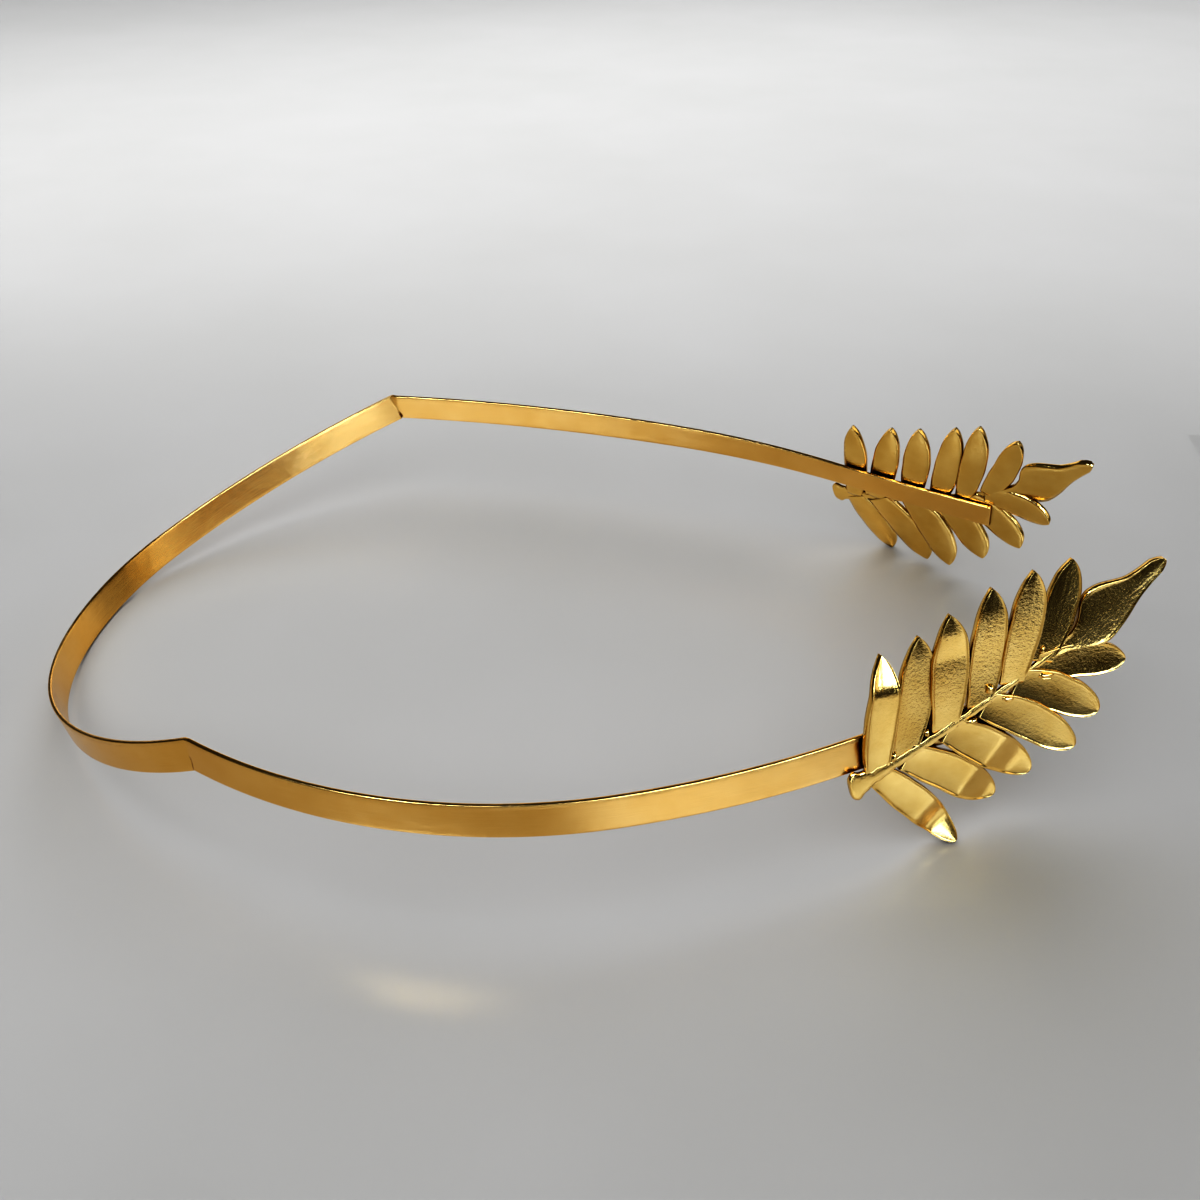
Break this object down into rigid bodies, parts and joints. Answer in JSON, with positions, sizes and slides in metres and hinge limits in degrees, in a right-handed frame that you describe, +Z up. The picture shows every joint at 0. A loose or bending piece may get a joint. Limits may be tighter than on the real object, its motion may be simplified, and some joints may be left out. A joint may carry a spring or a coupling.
{
  "type": "leaf headband",
  "caption": "Open-front laurel headband: a flat brass strip bent round the head, with a cast leaf spray soldered to each free end.",
  "frame": {"origin": "bottom centre of the bounding box, on the surface that the headband lies on", "axes": "+X to the open front between the leaf sprays, +Y to the wearer's left, +Z up from the surface"},
  "size_m": [0.2076, 0.135, 0.0501],
  "materials": {
    "gold_metal": "satin, brushed strip and cast leaves with bright edges"
  },
  "bodies": {
    "root": {"headband": "gold_metal"}
  },
  "joints": []
}
